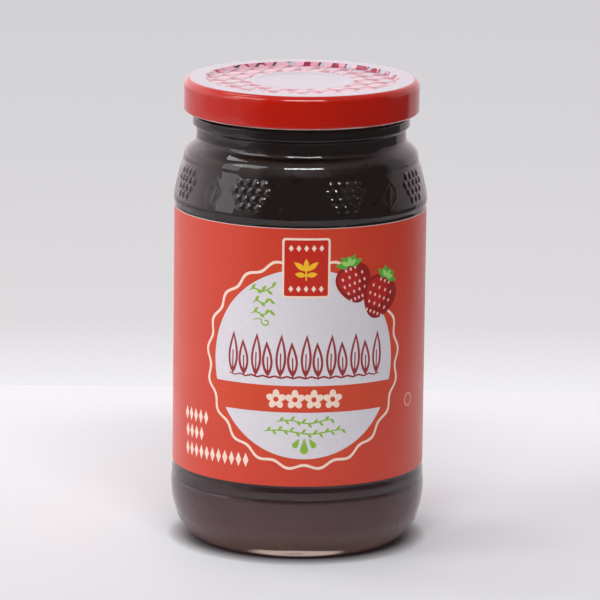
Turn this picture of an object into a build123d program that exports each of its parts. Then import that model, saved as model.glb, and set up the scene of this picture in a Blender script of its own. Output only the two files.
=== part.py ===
from build123d import *
import os
from math import atan2, degrees, tan

# A filled jelly jar with its lid on. Millimetres, +Z up.
# The origin is the middle of the base, on the surface that the jar stands on.
# The middle of the label's front faces -Y, and its overlap seam is at the back, +Y.

# --- Glass: base and heel -------------------------------------------------
heel_radius = 36.0        # widest ring of the jar
heel_width = 9.6          # the heel's rounding, across
heel_height = 16.0        # and up
bearing_width = 1.8       # the flat ring that the jar stands on
bearing_fillet = 0.8
push_up = 3.0             # the base's hollow underside, at the middle
push_up_edge = 2.2        # its height where it turns down to the bearing ring
push_up_slope = 3.1       # width of that turn
floor_thickness = 2.4     # glass at the middle of the base
floor_drop = 1.0          # the inner floor falls this much towards the heel
inner_heel_width = 13.1   # the rounding inside the heel, across
inner_heel_height = 13.5  # and up

# --- Glass: body and label panel ------------------------------------------
wall = 2.45               # glass thickness at the label panel
band_height = 1.3         # from the heel up to the mould step
mould_step = 0.2          # the body above the step is this much slimmer
mould_step_height = 0.8
panel_recess = 0.25       # the label panel lies this much deeper again
recess_slope = 1.2        # height of the slope into the recess, at each end
lower_band = 2.3          # plain band between the mould step and the recess
label_margin = 0.8        # bare panel above and below the label
shoulder_lip = 0.3        # the shoulder stands this much proud of the panel

# --- Glass: shoulder, neck and finish -------------------------------------
shoulder_rise = 1.0       # from the recess up to where the shoulder leans in
shoulder_height = 8.0     # the leaning shoulder
shoulder_lean = 1.8       # how far it leans in over that height
ledge_height = 2.6        # rounded ledge above the shoulder
ledge_width = 0.8
collar_height = 2.6       # upright collar above the ledge
collar_lean = 0.15
flank_height = 2.9        # sloping flank from the collar in to the neck
flank_fillet = 4.0        # rounding between the collar and the flank, on a long enough collar
collar_share = 0.8        # that rounding uses up no more than this share of the collar
neck_radius = 29.65
neck_height = 3.5         # straight neck between the flank and the bead
neck_fillet = 2.0         # rounding between the flank and the neck
bead_width = 1.05         # the bead stands this much proud of the neck
bead_height = 4.1
bead_slope = 0.8          # height of the bead's sloping sides
neck_wall = 2.45          # glass thickness at the neck
finish_inset = 0.15       # inside the lid the neck is this much slimmer
finish_height = 9.4       # from the bead's top to the rim
rim_fillet = 0.9
shoulder_wall = 2.5       # glass thickness inside the shoulder's ledge
flank_drop = 1.0          # the flank's inside lies this much lower than its outside

# --- Contents ---------------------------------------------------------------
headspace = 7.6           # from the jelly's surface up to the rim

# --- Label ------------------------------------------------------------------
label_height = 73.5
label_thickness = 0.15
label_overlap = 9.0       # the end that is stuck down over the start

# --- Lid --------------------------------------------------------------------
lid_sheet = 0.3           # thickness of the metal
hem_clearance = 0.85      # gap between the hem's curl and the bead
hem_width = 1.7           # the curl's size, across and up
hem_fillet = 0.8
lid_depth = 9.3           # from the lid's top down to the hem's underside
lid_corner = 1.9          # rounding between the skirt and the top
panel_clearance = 0.2     # gap between the lid's recessed panel and the mouth
panel_depth = 0.8         # the panel lies this much below the outer ring
panel_slope = 0.8
button_radius = 13.6      # the safety button, drawn down by the vacuum
button_depth = 0.25
button_slope = 1.6

# --- Places worked out from the sizes above ---------------------------------
band_radius = heel_radius - mould_step
panel_radius = band_radius - panel_recess
shoulder_radius = panel_radius + shoulder_lip
ledge_radius = shoulder_radius - shoulder_lean
collar_radius = ledge_radius - ledge_width
bead_radius = neck_radius + bead_width
finish_radius = neck_radius - finish_inset
mouth_radius = neck_radius - neck_wall
body_inner = panel_radius - wall
bearing_outer = heel_radius - heel_width
bearing_inner = bearing_outer - bearing_width
push_up_radius = bearing_inner - push_up_slope
floor_radius = body_inner - inner_heel_width

step_z = heel_height + band_height
panel_bottom = step_z + mould_step_height + lower_band + recess_slope
label_bottom = panel_bottom + label_margin
label_top = label_bottom + label_height
panel_top = label_top + label_margin
shoulder_z = panel_top + recess_slope + shoulder_rise
ledge_z = shoulder_z + shoulder_height
collar_z = ledge_z + ledge_height
flank_z = collar_z + collar_height
neck_z = flank_z + flank_height
bead_z = neck_z + neck_height
finish_z = bead_z + bead_height
rim_z = finish_z + finish_height
floor_z = push_up + floor_thickness
inner_heel_z = floor_z - floor_drop + inner_heel_height
jelly_z = rim_z - headspace

lid_radius = bead_radius + hem_clearance + hem_width
lid_top = rim_z + lid_sheet
hem_z = lid_top - lid_depth
lid_panel_radius = mouth_radius - panel_clearance


def turned(edges):
    """Solid of revolution about Z of a closed outline drawn in radius and height."""
    return revolve(Plane.XZ * make_face(edges), Axis.Z)


def corners(points):
    """Run of straight lines through (radius, height, fillet) points."""
    places = [(radius, height) for radius, height, _ in points]
    fillets = [fillet for _, _, fillet in points[1:-1]]
    return FilletPolyline(*places, radius=fillets)


def quarter(centre_r, centre_z, width, height):
    """Quarter of an ellipse, from under its centre out to its right."""
    return EllipticalCenterArc((centre_r, centre_z), width, height, 270, arc_size=90)


def inner_wall(top):
    """The jar's inside from the top of the heel's rounding up to a height."""
    return [
        (body_inner, inner_heel_z, 0),
        (body_inner, shoulder_z - 1, 18),
        (collar_radius - shoulder_wall, flank_z - flank_drop, 6),
        (mouth_radius, neck_z - flank_drop, 4),
        (mouth_radius, top, 0),
    ]


def inner_base():
    """The inner floor and the heel's inside, from the axis outwards."""
    low = floor_z - floor_drop
    floor = Line((0, floor_z), (floor_radius, low))
    heel = quarter(floor_radius, inner_heel_z, inner_heel_width, inner_heel_height)
    return [floor, heel]


def collar_rounding():
    """The fillet at the collar's top, kept within the collar where the flank is wide."""
    flank_width = collar_radius - collar_lean - neck_radius
    turn = atan2(abs(flank_width), flank_height)
    return min(flank_fillet, collar_share * collar_height / tan(turn / 2))


def glass_jar():
    """The glass, turned as one piece, from the push-up to the rim."""
    underside = corners([
        (0, push_up, 0),
        (push_up_radius, push_up_edge, 4),
        (bearing_inner, 0, bearing_fillet),
        (bearing_outer, 0, 0),
    ])
    heel = quarter(bearing_outer, heel_height, heel_width, heel_height)
    outside = [
        (heel_radius, heel_height, 0),
        (heel_radius, step_z, 0.2),
        (band_radius, step_z + mould_step_height, 0.2),
        (band_radius, panel_bottom - recess_slope, 2.5),
        (panel_radius, panel_bottom, 2.5),
        (panel_radius, panel_top, 2.0),
        (shoulder_radius, panel_top + recess_slope, 2.0),
        (shoulder_radius, shoulder_z, 6),
        (ledge_radius, ledge_z, 4.0),
        (collar_radius, collar_z, 2.5),
        (collar_radius - collar_lean, flank_z, collar_rounding()),
        (neck_radius, neck_z, neck_fillet),
        (neck_radius, bead_z, 0.3),
        (bead_radius, bead_z + bead_slope, 0.5),
        (bead_radius, finish_z - bead_slope, 0.5),
        (finish_radius, finish_z, 0.3),
        (finish_radius, rim_z, rim_fillet),
    ]
    inside = list(reversed(inner_wall(rim_z)))
    inside[0] = (mouth_radius, rim_z, rim_fillet)
    walls = corners(outside + inside)
    axis = Line((0, floor_z), (0, push_up))
    return turned([underside, heel, walls, *inner_base(), axis])


def jelly():
    """The contents, filling the glass up to their level in the neck."""
    top = Line((mouth_radius, jelly_z), (0, jelly_z))
    axis = Line((0, jelly_z), (0, floor_z))
    return turned([*inner_base(), corners(inner_wall(jelly_z)), top, axis])


def sleeve(radius, angle=360):
    """A layer of label paper whose inside lies at a radius."""
    middle = Pos(radius + label_thickness / 2, (label_bottom + label_top) / 2)
    strip = middle * Rectangle(label_thickness, label_height)
    return revolve(Plane.XZ * strip, Axis.Z, angle)


def label():
    """The paper label, wrapped once round, with its end stuck down over its start."""
    outer = panel_radius + label_thickness
    lap = degrees(label_overlap / outer)
    return sleeve(panel_radius) + Rot(Z=90) * sleeve(outer, lap)


def lid():
    """The pressed metal lid: a sheet of even thickness, and its curled hem."""
    inner_radius = lid_radius - lid_sheet
    slope_radius = lid_panel_radius - panel_slope
    panel_z = lid_top - panel_depth
    button_z = panel_z - button_depth
    face = [
        (0, button_z, 0),
        (button_radius - button_slope, button_z, 1.5),
        (button_radius, panel_z, 1.5),
        (slope_radius, panel_z, 0.6),
        (lid_panel_radius, lid_top, 0.6),
        (lid_radius, lid_top, lid_corner),
        (lid_radius, hem_z, hem_fillet),
        (lid_radius - hem_width, hem_z, hem_fillet),
        (lid_radius - hem_width, hem_z + hem_width, hem_fillet),
        (inner_radius, hem_z + hem_width, 0.2),
        (inner_radius, rim_z, lid_corner - lid_sheet),
        (lid_panel_radius, rim_z, 0.4),
        (slope_radius, panel_z - lid_sheet, 0.9),
        (button_radius, panel_z - lid_sheet, 1.5),
        (button_radius - button_slope, button_z - lid_sheet, 1.5),
        (0, button_z - lid_sheet, 0),
    ]
    axis = Line((0, button_z - lid_sheet), (0, button_z))
    return turned([corners(face), axis])


pieces = {
    "glass_jar": glass_jar(),
    "jelly": jelly(),
    "label": label(),
    "lid": lid(),
}

os.makedirs("parts", exist_ok=True)
for name, solid in pieces.items():
    export_step(solid, f"parts/{name}.step")

print(f"jar {2 * heel_radius:.1f} across, {lid_top:.1f} high, lid {2 * lid_radius:.1f} across")
print(f"label {label_bottom:.1f} to {label_top:.1f}, hem {hem_z:.1f}, rim {rim_z:.1f}")
print(f"jelly {pieces['jelly'].volume / 1000:.0f} ml up to {jelly_z:.1f}")
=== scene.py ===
from math import acos, ceil, cos, hypot, pi, radians, sin, tan

import bpy
import numpy as np
from mathutils import Euler, Matrix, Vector
from mathutils.geometry import delaunay_2d_cdt


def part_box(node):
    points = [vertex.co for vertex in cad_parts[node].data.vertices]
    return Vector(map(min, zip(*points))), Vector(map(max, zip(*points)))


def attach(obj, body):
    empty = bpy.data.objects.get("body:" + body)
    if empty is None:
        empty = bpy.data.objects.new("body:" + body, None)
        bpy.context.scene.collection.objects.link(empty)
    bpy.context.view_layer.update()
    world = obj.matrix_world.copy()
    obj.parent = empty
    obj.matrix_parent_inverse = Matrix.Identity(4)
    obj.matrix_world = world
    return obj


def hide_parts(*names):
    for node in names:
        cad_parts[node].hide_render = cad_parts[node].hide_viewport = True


# A filled jelly jar with a printed label and an enamelled lid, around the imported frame.
# Lengths are millimetres in the frame's axes, and meshes are scaled to metres when made.

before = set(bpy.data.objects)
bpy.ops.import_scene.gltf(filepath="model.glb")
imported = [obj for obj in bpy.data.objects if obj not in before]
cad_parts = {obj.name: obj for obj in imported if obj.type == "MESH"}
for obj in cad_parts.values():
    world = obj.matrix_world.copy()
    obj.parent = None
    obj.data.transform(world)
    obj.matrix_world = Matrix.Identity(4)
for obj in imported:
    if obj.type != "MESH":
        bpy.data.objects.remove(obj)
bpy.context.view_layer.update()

MM = 0.001

# --- Sizes read from the frame ---
glass_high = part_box("glass_jar")[1] / MM
jelly_low, jelly_high = (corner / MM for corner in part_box("jelly"))
label_low, label_high = (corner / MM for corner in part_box("label"))
lid_low, lid_high = (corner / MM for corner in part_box("lid"))

heel_radius = glass_high.x
rim_z = glass_high.z
jelly_z = jelly_high.z
floor_low = jelly_low.z
label_bottom = label_low.z
label_height = label_high.z - label_low.z
label_radius = label_high.x
lid_radius = lid_high.x
lid_top = lid_high.z
hem_z = lid_low.z

# --- Glass, as in the frame's own sizes ---
heel_width = 9.6
heel_height = 16.0
bearing_width = 1.8
bearing_fillet = 0.8
push_up = 3.0
push_up_edge = 2.2
push_up_slope = 3.1
floor_drop = 1.0
inner_heel_width = 13.1
inner_heel_height = 13.5
wall = 2.45
band_height = 1.3
mould_step = 0.2
mould_step_height = 0.8
panel_recess = 0.25
recess_slope = 1.2
label_margin = 0.8
label_thickness = 0.15
shoulder_lip = 0.3
shoulder_rise = 1.0
shoulder_height = 8.0
shoulder_lean = 1.8
ledge_height = 2.6
ledge_width = 0.8
collar_height = 2.6
collar_lean = 0.15
flank_height = 2.9
flank_fillet = 4.0
neck_height = 3.5
neck_fillet = 2.0
neck_radius = 29.65
bead_width = 1.05
bead_height = 4.1
bead_slope = 0.8
neck_wall = 2.45
finish_inset = 0.15
rim_fillet = 0.9
shoulder_wall = 2.5
flank_drop = 1.0

band_radius = heel_radius - mould_step
panel_radius = band_radius - panel_recess
shoulder_radius = panel_radius + shoulder_lip
ledge_radius = shoulder_radius - shoulder_lean
collar_radius = ledge_radius - ledge_width
bead_radius = neck_radius + bead_width
finish_radius = neck_radius - finish_inset
mouth_radius = neck_radius - neck_wall
body_inner = panel_radius - wall
bearing_outer = heel_radius - heel_width
bearing_inner = bearing_outer - bearing_width
push_up_radius = bearing_inner - push_up_slope
floor_radius = body_inner - inner_heel_width
floor_z = floor_low + floor_drop

step_z = heel_height + band_height
panel_bottom = label_bottom - label_margin
panel_top = label_bottom + label_height + label_margin
shoulder_z = panel_top + recess_slope + shoulder_rise
ledge_z = shoulder_z + shoulder_height
collar_z = ledge_z + ledge_height
flank_z = collar_z + collar_height
neck_z = flank_z + flank_height
bead_z = neck_z + neck_height
finish_z = bead_z + bead_height
inner_heel_z = floor_low + inner_heel_height

# --- Relief in the glass ---
fine_segments = 912        # round the jar where there is relief
coarse_segments = 228      # and elsewhere
fine_row = 0.32            # between rows where there is relief
coarse_row = 6.0
relief_low = 98.5          # the shoulder's band of relief
relief_high = 109.5
relief_motifs = 8          # berries round the shoulder
relief_shift = -14.0       # arc from the front's middle to one of them
relief_height = 0.36
ridge_reach = 0.42         # half of a raised line's width
seed_pitch = 2.5
seed_row = 2.15
seed_width = 1.2           # half of a raised seed's width
seed_height = 1.1
knurl_low = 3.8            # small bars round the heel
knurl_high = 8.2
knurl_count = 76
knurl_height = 0.15

# --- Jelly ---
jelly_overlap = 0.08       # the jelly reaches this far into the glass
meniscus = 0.6
meniscus_width = 2.0

# --- Heights where the glass's scuffs and the jelly's painted light and shade change ---
scuffs_rise = (8.5, 10.5)
scuffs_fall = (21.0, 23.5)
heel_light_fall = (4.0, 24.0)   # painted light from the floor: the jelly's lit mauve goes over to its dark body
bottom_light_fall = (4.5, 9.0)   # and the warmer painted light of its bottom to the mauve
painted_glow_fall = (4.8, 9.5)     # the painted glow in its bottom, standing in for light through the glass base, fades over these
glow_ring_top = 6.0             # the painted glowing ring in its bottom lies below this
glow_ring_fade = (0.3, 1.2)     # the painted ring's half-widths, where it starts to fade and where it ends
step_shadow_above = 0.3           # a painted shadow of the mould step, a dark line, lies this much above the step's foot
step_shadow_sway = 0.3
step_shadow_fade = (0.2, 0.6)     # the painted step shadow's half-widths

# --- Lid ---
lid_sheet = 0.3
hem_width = 1.7
hem_fillet = 0.8
lid_corner = 1.9
panel_clearance = 0.2
panel_depth = 0.8
panel_slope = 0.8
button_radius = 13.6
button_depth = 0.25
button_slope = 1.6
lid_panel_radius = mouth_radius - panel_clearance
lid_segments = 240
white_radius = 31.7        # the top's white reaches out to here
top_edge = white_radius - 0.8    # the top's printed sheet ends here and the turned part starts
print_inner = 14.6         # the printed ring of checks
print_outer = 27.4
check_pitch = 5.8
check_turn = radians(28)
check_wave = 0.75
check_edge = 0.46          # width of the thin lines between the checks

# --- Label ---
label_length = 2 * pi * label_radius
label_overlap = 9.0
lap_slope = 1.2            # the paper's step over the stuck-down end
lap_slant = 0.08           # the edge of the end leans by this much
label_margin_top = 0.15    # unprinted paper along the top edge
longest_edge = 1.4         # of the mesh along a printed outline
far_off = 99.0             # further out than anything on the label

# Places on the label's front are measured from its middle and from its foot.
disc_centre = (1.8, 35.0)
disc_radius = 27.1
ring_radius = 29.87        # the wavy ring round the disc, at its outside
ring_line = 0.8
ring_wave = 0.62
ring_waves = 21
band_low = 21.2            # the plain band across the disc
band_high = 28.8
mark_centre = (37.3, 21.5)

nearly = 1e-3              # two flat places closer than this are one


# === Outlines and meshes ===

def arc_points(before, here, after, fillet, turn):
    """Points of the arc that rounds a corner, from one side to the other."""
    here = np.array(here, float)
    back = np.array(before, float) - here
    ahead = np.array(after, float) - here
    back /= np.linalg.norm(back)
    ahead /= np.linalg.norm(ahead)
    half = acos(np.clip(back @ ahead, -1, 1)) / 2
    middle = back + ahead
    centre = here + middle / np.linalg.norm(middle) * fillet / sin(half)
    start = here + back * fillet / tan(half) - centre
    end = here + ahead * fillet / tan(half) - centre
    sweep = pi - 2 * half
    steps = max(2, ceil(sweep / turn))
    shares = np.linspace(0, 1, steps + 1)
    return [
        centre + (sin((1 - s) * sweep) * start + sin(s * sweep) * end) / sin(sweep)
        for s in shares
    ]


def rounded(corners, turn=radians(9)):
    """Outline through (radius, height, fillet) corners, with its fillets as points."""
    points = [np.array(corners[0][:2], float)]
    for before, here, after in zip(corners, corners[1:], corners[2:]):
        if here[2] > 0:
            points += arc_points(before[:2], here[:2], after[:2], here[2], turn)
        else:
            points.append(np.array(here[:2], float))
    points.append(np.array(corners[-1][:2], float))
    return points


def quarter(centre_r, centre_z, width, height, steps):
    """Quarter of an ellipse, from under its centre out to its right."""
    turns = np.linspace(0, pi / 2, steps + 1)
    return [np.array((centre_r + width * sin(t), centre_z - height * cos(t))) for t in turns]


def joined(*runs):
    """Runs of points as one outline, without the points that repeat."""
    points = [runs[0][0]]
    for run in runs:
        points += [p for p in run if np.linalg.norm(p - points[-1]) > 1e-6]
    return points


def divided(points, longest):
    """The outline with its longer stretches divided, longest(r, z) being the limit there."""
    out = [points[0]]
    for a, b in zip(points, points[1:]):
        limit = longest((a + b) / 2)
        steps = max(1, ceil(np.linalg.norm(b - a) / limit))
        out += [a + (b - a) * k / steps for k in range(1, steps + 1)]
    return out


def outline_normals(points):
    """Unit normals of an outline, to the right of its direction of travel."""
    points = np.array(points)
    ahead = np.gradient(points, axis=0)
    normals = np.stack([ahead[:, 1], -ahead[:, 0]], axis=1)
    return normals / np.linalg.norm(normals, axis=1)[:, None]


def turned_rows(points, counts, lift=None):
    """Vertices of a turned shape, row by row, and where each row starts."""
    normals = outline_normals(points)
    rows = []
    starts = []
    total = 0
    for (radius, height), normal, count in zip(points, normals, counts):
        starts.append(total)
        if count == 1:
            rows.append(np.array([[0.0, 0.0, height]]))
            total += 1
            continue
        angles = -pi / 2 + 2 * pi * np.arange(count) / count
        raised = lift(angles, height, radius) if lift else 0.0
        r = radius + raised * normal[0]
        z = height + raised * normal[1] + 0 * angles
        rows.append(np.stack([r * np.cos(angles), r * np.sin(angles), z], axis=1))
        total += count
    return np.concatenate(rows), starts


def strip_faces(start_a, count_a, start_b, count_b):
    """Faces between two rows, the first under or before the second."""
    if count_a == 1:
        return [(start_a, start_b + (j + 1) % count_b, start_b + j) for j in range(count_b)]
    if count_b == 1 or count_a > count_b:
        return [face[::-1] for face in strip_faces(start_b, count_b, start_a, count_a)]
    faces = []
    ratio = count_b // count_a
    middle = ratio // 2
    for j in range(count_a):
        low, high = start_a + j, start_a + (j + 1) % count_a
        fan = [start_b + (j * ratio + m) % count_b for m in range(ratio + 1)]
        if ratio == 1:
            faces.append((low, high, fan[1], fan[0]))
            continue
        faces.append((low, high, fan[middle]))
        faces += [(low, fan[m + 1], fan[m]) for m in range(middle)]
        faces += [(high, fan[m + 1], fan[m]) for m in range(middle, ratio)]
    return faces


def turned(points, counts, lift=None):
    """Vertices and faces of a closed shape turned about Z."""
    vertices, starts = turned_rows(points, counts, lift)
    faces = []
    rows = list(zip(starts, counts))
    for (start_a, count_a), (start_b, count_b) in zip(rows, rows[1:]):
        faces += strip_faces(start_a, count_a, start_b, count_b)
    return vertices, faces


def piece(name, vertices, faces, materials, chosen=None):
    """A smooth mesh object from points in millimetres, riding on the jar."""
    mesh = bpy.data.meshes.new(name)
    mesh.from_pydata((np.asarray(vertices) * MM).tolist(), [], faces)
    for material in materials:
        mesh.materials.append(material)
    if chosen is not None:
        mesh.polygons.foreach_set("material_index", np.asarray(chosen, np.int32))
    mesh.polygons.foreach_set("use_smooth", np.ones(len(faces), bool))
    mesh.update()
    made = bpy.data.objects.new(name, mesh)
    bpy.context.scene.collection.objects.link(made)
    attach(made, "root")
    return made


# === Node helpers ===

def new_material(name):
    """An empty node material: its tree, its Principled shader and object coordinates."""
    material = bpy.data.materials.new(name)
    material.use_nodes = True
    tree = material.node_tree
    shader = tree.nodes["Principled BSDF"]
    place = tree.nodes.new("ShaderNodeTexCoord").outputs["Object"]
    return material, tree, shader, place


def noise(tree, place, size, detail=3.0, roughness=0.55):
    """Noise whose features are about so many millimetres across, from 0 to 1."""
    node = tree.nodes.new("ShaderNodeTexNoise")
    node.inputs["Scale"].default_value = 1 / (size * MM)
    node.inputs["Detail"].default_value = detail
    node.inputs["Roughness"].default_value = roughness
    tree.links.new(place, node.inputs["Vector"])
    return node.outputs["Fac"]


def ranged(tree, value, from_low, from_high, to_low, to_high):
    """A value moved from one range to another, and kept in it."""
    node = tree.nodes.new("ShaderNodeMapRange")
    for name, number in zip(
        ("From Min", "From Max", "To Min", "To Max"), (from_low, from_high, to_low, to_high)
    ):
        node.inputs[name].default_value = number
    tree.links.new(value, node.inputs["Value"])
    return node.outputs["Result"]


def ranged_mm(tree, length, from_low, from_high, to_low, to_high):
    """As ranged, for a length whose first range is in millimetres."""
    return ranged(tree, length, from_low * MM, from_high * MM, to_low, to_high)


def coordinate(tree, place, axis):
    """One coordinate of a place: X, Y or Z."""
    node = tree.nodes.new("ShaderNodeSeparateXYZ")
    tree.links.new(place, node.inputs[0])
    return node.outputs[axis]


def blended(tree, factor, first, second):
    """Mix of two colours, each a socket or plain sRGB numbers."""
    node = tree.nodes.new("ShaderNodeMix")
    node.data_type = "RGBA"
    tree.links.new(factor, node.inputs[0])
    for socket, colour in ((node.inputs[6], first), (node.inputs[7], second)):
        if isinstance(colour, bpy.types.NodeSocket):
            tree.links.new(colour, socket)
        else:
            socket.default_value = linear(colour)
    return node.outputs[2]


def math(tree, operation, first, second=0.0):
    """A Math node's result from two values, each a socket or a number."""
    node = tree.nodes.new("ShaderNodeMath")
    node.operation = operation
    for socket, value in zip(node.inputs, (first, second)):
        if isinstance(value, bpy.types.NodeSocket):
            tree.links.new(value, socket)
        else:
            socket.default_value = value
    return node.outputs[0]


def bumped(tree, shader, height, depth):
    """Bump of a depth in millimetres from a height between 0 and 1."""
    node = tree.nodes.new("ShaderNodeBump")
    node.inputs["Strength"].default_value = 1.0
    node.inputs["Distance"].default_value = depth * MM
    tree.links.new(height, node.inputs["Height"])
    tree.links.new(node.outputs["Normal"], shader.inputs["Normal"])


def glossed(tree, shader, value, low, high, from_low=0.3, from_high=0.7):
    """Roughness between two limits, from a value between 0 and 1."""
    gloss = ranged(tree, value, from_low, from_high, low, high)
    tree.links.new(gloss, shader.inputs["Roughness"])


def uneven(tree, place, size, colour, low, high):
    """The colour, which varies slowly between two shares of itself."""
    return blended(tree, noise(tree, place, size, 2.0), shaded(colour, low), shaded(colour, high))


def ramp(tree, value, stops):
    """Colour ramp through (place, sRGB colour) stops."""
    node = tree.nodes.new("ShaderNodeValToRGB")
    elements = node.color_ramp.elements
    while len(elements) < len(stops):
        elements.new(0.5)
    for element, (position, colour) in zip(elements, stops):
        element.position = position
        element.color = linear(colour)
    tree.links.new(value, node.inputs["Fac"])
    return node.outputs["Color"]


def linear(colour):
    """Linear RGBA from sRGB numbers between 0 and 255."""
    shares = np.array(colour[:3], float) / 255
    light = np.where(shares <= 0.04045, shares / 12.92, ((shares + 0.055) / 1.055) ** 2.4)
    return (*light.tolist(), 1.0)


def shaded(colour, share):
    """The colour made lighter or darker by a share."""
    return tuple(min(255, c * share) for c in colour)


# === Materials ===

def glass_material():
    """Clear container glass with the slow waves of pressed glass, scuffed round the heel."""
    material, tree, shader, place = new_material("clear_glass")
    colour = blended(tree, noise(tree, place, 40), (247, 250, 248), (252, 252, 250))
    tree.links.new(colour, shader.inputs["Base Color"])
    shader.inputs["Transmission Weight"].default_value = 1.0
    shader.inputs["IOR"].default_value = 1.5
    height = coordinate(tree, place, "Z")
    smears = ranged(tree, noise(tree, place, 7), 0.45, 0.8, 0.0, 0.012)
    under = ranged_mm(tree, height, *scuffs_rise, 0.0, 0.16)
    over = ranged_mm(tree, height, *scuffs_fall, 1.0, 0.0)
    scuffs = math(tree, "MULTIPLY", under, over)
    tree.links.new(math(tree, "ADD", smears, scuffs), shader.inputs["Roughness"])
    bumped(tree, shader, noise(tree, place, 9, 1.0), 0.09)
    return material


def jelly_colour(tree, place, height):
    """Nearly black with paler threads, mauve at the heel and warmer at its bottom as painted light
    from the floor, and a painted shadow of the mould step as a dark line.
    """
    deep = blended(tree, noise(tree, place, 9), (34, 13, 9), (20, 9, 8))
    # painted light from the floor: the heel is a lit mauve, and warmer at the very bottom
    low = blended(tree, noise(tree, place, 14), (136, 92, 98), (126, 84, 92))
    low = blended(tree, ranged_mm(tree, height, *bottom_light_fall, 0.0, 1.0), (156, 90, 86), low)
    body = blended(tree, ranged_mm(tree, height, *heel_light_fall, 0.0, 1.0), low, deep)
    # painted shadow of the mould step: a dark wavering line in the jelly just above the step
    sway = ranged(tree, noise(tree, place, 12, 2.0), 0.3, 0.7, -step_shadow_sway * MM, step_shadow_sway * MM)
    level = math(tree, "ADD", height, sway)
    away = math(tree, "ABSOLUTE", math(tree, "SUBTRACT", level, (step_z + step_shadow_above) * MM))
    body = blended(tree, ranged_mm(tree, away, *step_shadow_fade, 0.85, 0.0), body, (30, 14, 16))
    threads = ranged(tree, noise(tree, place, 2.2), 0.6, 0.75, 0.0, 0.35)
    return blended(tree, threads, body, (72, 40, 20))


def jelly_painted_glow(tree, place, height):
    """Strength of a painted glow in the jelly's bottom, standing in for light through the glass base:
    a ring and a faint glow.
    """
    flat = tree.nodes.new("ShaderNodeVectorMath")
    flat.operation = "MULTIPLY"
    flat.inputs[1].default_value = (1, 1, 0)
    tree.links.new(place, flat.inputs[0])
    radius = tree.nodes.new("ShaderNodeVectorMath")
    radius.operation = "LENGTH"
    tree.links.new(flat.outputs[0], radius.inputs[0])
    inward = math(tree, "SUBTRACT", radius.outputs["Value"], floor_radius * MM)
    ring = ranged_mm(tree, math(tree, "ABSOLUTE", inward), *glow_ring_fade, 0.45, 0.0)
    base = math(tree, "LESS_THAN", height, glow_ring_top * MM)
    glow = ranged_mm(tree, height, *painted_glow_fall, 0.03, 0.0)
    return math(tree, "ADD", math(tree, "MULTIPLY", ring, base), glow)


def jelly_material():
    """Dark berry jelly, with a painted glow round its base and painted light at its heel."""
    material, tree, shader, place = new_material("berry_jelly")
    height = coordinate(tree, place, "Z")
    tree.links.new(jelly_colour(tree, place, height), shader.inputs["Base Color"])
    glossed(tree, shader, noise(tree, place, 5), 0.25, 0.45)
    shader.inputs["Specular IOR Level"].default_value = 0.1
    # painted glow: the jelly's bottom emits light, standing in for light through the glass base
    shader.inputs["Emission Color"].default_value = linear((255, 226, 214))
    tree.links.new(jelly_painted_glow(tree, place, height), shader.inputs["Emission Strength"])
    return material


def paper_ink(name, colour):
    """One printed colour of the label: coated paper with fine fibres and uneven ink."""
    material, tree, shader, place = new_material(name)
    body = uneven(tree, place, 14, colour, 0.965, 1.03)
    fibres = ranged(tree, noise(tree, place, 0.9, 2.0), 0.35, 0.65, 0, 1)
    flecked = blended(tree, fibres, shaded(colour, 0.975), body)
    tree.links.new(flecked, shader.inputs["Base Color"])
    glossed(tree, shader, noise(tree, place, 7, 1.0), 0.29, 0.36, 0.2, 0.8)
    bumped(tree, shader, noise(tree, place, 1.1, 2.0), 0.008)
    return material


def enamel(name, colour, roughness=0.2):
    """Baked enamel on the lid's sheet metal, with a slight orange-peel surface."""
    material, tree, shader, place = new_material(name)
    tree.links.new(uneven(tree, place, 9, colour, 0.96, 1.03), shader.inputs["Base Color"])
    glossed(tree, shader, noise(tree, place, 3), roughness - 0.05, roughness + 0.07)
    bumped(tree, shader, noise(tree, place, 1.2, 2.0), 0.006)
    return material


def skirt_enamel(colour):
    """Glossy red enamel, pale along its edge at the hem's underside."""
    material, tree, shader, place = new_material("lid_red")
    body = uneven(tree, place, 9, colour, 0.96, 1.03)
    edge = math(tree, "MULTIPLY_ADD", noise(tree, place, 14, 1.0), 1.1 * MM)
    edge.node.inputs[2].default_value = (hem_z - 0.25) * MM
    pale = math(tree, "LESS_THAN", coordinate(tree, place, "Z"), edge)
    tree.links.new(blended(tree, pale, body, (228, 186, 178)), shader.inputs["Base Color"])
    glossed(tree, shader, noise(tree, place, 3), 0.08, 0.14)
    bumped(tree, shader, noise(tree, place, 6.0, 1.0), 0.01)
    return material


# === Glass jar ===

def bump_height(distance, reach):
    """A soft round ridge: 1 at no distance and 0 at reach."""
    inside = np.clip(1 - (distance / reach) ** 2, 0, None)
    return inside ** 1.5


def path_distance(u, z, path):
    """Distance of points from a run of straight lines."""
    nearest = np.full(np.shape(u), 1e9)
    for (u0, z0), (u1, z1) in zip(path, path[1:]):
        du, dz = u1 - u0, z1 - z0
        share = np.clip(((u - u0) * du + (z - z0) * dz) / (du * du + dz * dz), 0, 1)
        nearest = np.minimum(nearest, np.hypot(u - u0 - share * du, z - z0 - share * dz))
    return nearest


def relief_seeds():
    """Places of one motif's raised seeds, in staggered rows inside its berry."""
    counts = (4, 5, 4, 3)
    return [
        (seed_pitch * (k - (count - 1) / 2), seed_row * (1.6 - row))
        for row, count in enumerate(counts)
        for k in range(count)
    ]


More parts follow.
